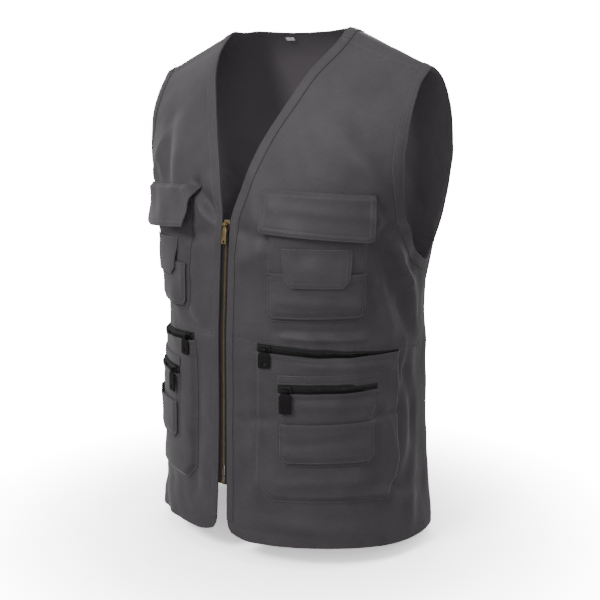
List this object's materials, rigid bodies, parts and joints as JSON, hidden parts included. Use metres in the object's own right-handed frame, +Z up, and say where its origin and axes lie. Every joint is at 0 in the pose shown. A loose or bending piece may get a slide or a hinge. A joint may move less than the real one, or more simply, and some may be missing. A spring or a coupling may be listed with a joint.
{
  "type": "work vest",
  "caption": "Sleeveless charcoal work vest with a V neck, a metal front zip, layered flap and patch pockets on both fronts, and zipped lower pockets.",
  "frame": {"origin": "midway between the high points of the shoulders, where the vest sits on its wearer or on a hanger", "axes": "+Z up, -Y out of the front with the zip, +X towards the wearer's left side"},
  "size_m": [0.4348, 0.3282, 0.6828],
  "materials": {
    "cloth": "matt twill with a faint sheen",
    "zip_tape": "woven tape",
    "brass": "antique satin",
    "black_metal": "satin enamel",
    "black_tab": "moulded",
    "label": "plain woven"
  },
  "bodies": {
    "vest": {"front_upper_left": "cloth", "front_lower_left": "cloth", "front_band_left": "cloth", "armhole_band_left": "cloth", "chest_pocket_left": "cloth", "chest_slip_pocket_left": "cloth", "small_flap_left": "cloth", "chest_flap_left": "cloth", "upper_zip_left": "zip_tape", "big_pocket_left": "cloth", "patch_band_left": "cloth", "lower_zip_left": "zip_tape", "patch_pocket_left": "cloth", "patch_slip_pocket_left": "cloth", "main_zip_tape_left": "zip_tape", "upper_slider_left": "black_metal", "lower_slider_left": "black_metal", "front_upper_right": "cloth", "front_lower_right": "cloth", "front_band_right": "cloth", "armhole_band_right": "cloth", "chest_pocket_right": "cloth", "chest_slip_pocket_right": "cloth", "small_flap_right": "cloth", "chest_flap_right": "cloth", "upper_zip_right": "zip_tape", "big_pocket_right": "cloth", "patch_band_right": "cloth", "lower_zip_right": "zip_tape", "patch_pocket_right": "cloth", "patch_slip_pocket_right": "cloth", "main_zip_tape_right": "zip_tape", "upper_slider_right": "black_metal", "lower_slider_right": "black_metal", "back_panel": "cloth", "back_neck_band": "cloth", "main_zip_teeth": "brass", "main_slider": "brass", "size_label": "label"},
    "upper_pull_left": {"upper_pull_left": "black_tab"},
    "lower_pull_left": {"lower_pull_left": "black_tab"},
    "upper_pull_right": {"upper_pull_right": "black_tab"},
    "lower_pull_right": {"lower_pull_right": "black_tab"},
    "main_pull": {"main_pull": "brass"}
  },
  "joints": [
    {"name": "upper_pull_left_swing", "type": "hinge", "parent": "vest", "child": "upper_pull_left", "pos_m": [0.06575, -0.14545, -0.40758], "axis": [-0.9576, -0.288, 0], "range_deg": [0, 150]},
    {"name": "lower_pull_left_swing", "type": "hinge", "parent": "vest", "child": "lower_pull_left", "pos_m": [0.09517, -0.14028, -0.45844], "axis": [-0.9018, -0.4321, 0], "range_deg": [0, 150]},
    {"name": "upper_pull_right_swing", "type": "hinge", "parent": "vest", "child": "upper_pull_right", "pos_m": [-0.06575, -0.14545, -0.40758], "axis": [-0.9576, 0.288, 0], "range_deg": [0, 150]},
    {"name": "lower_pull_right_swing", "type": "hinge", "parent": "vest", "child": "lower_pull_right", "pos_m": [-0.09517, -0.14028, -0.45844], "axis": [-0.9018, 0.4321, 0], "range_deg": [0, 150]},
    {"name": "main_pull_swing", "type": "hinge", "parent": "vest", "child": "main_pull", "pos_m": [0, -0.13853, -0.25309], "axis": [-1, 0, 0], "range_deg": [0, 150]}
  ]
}
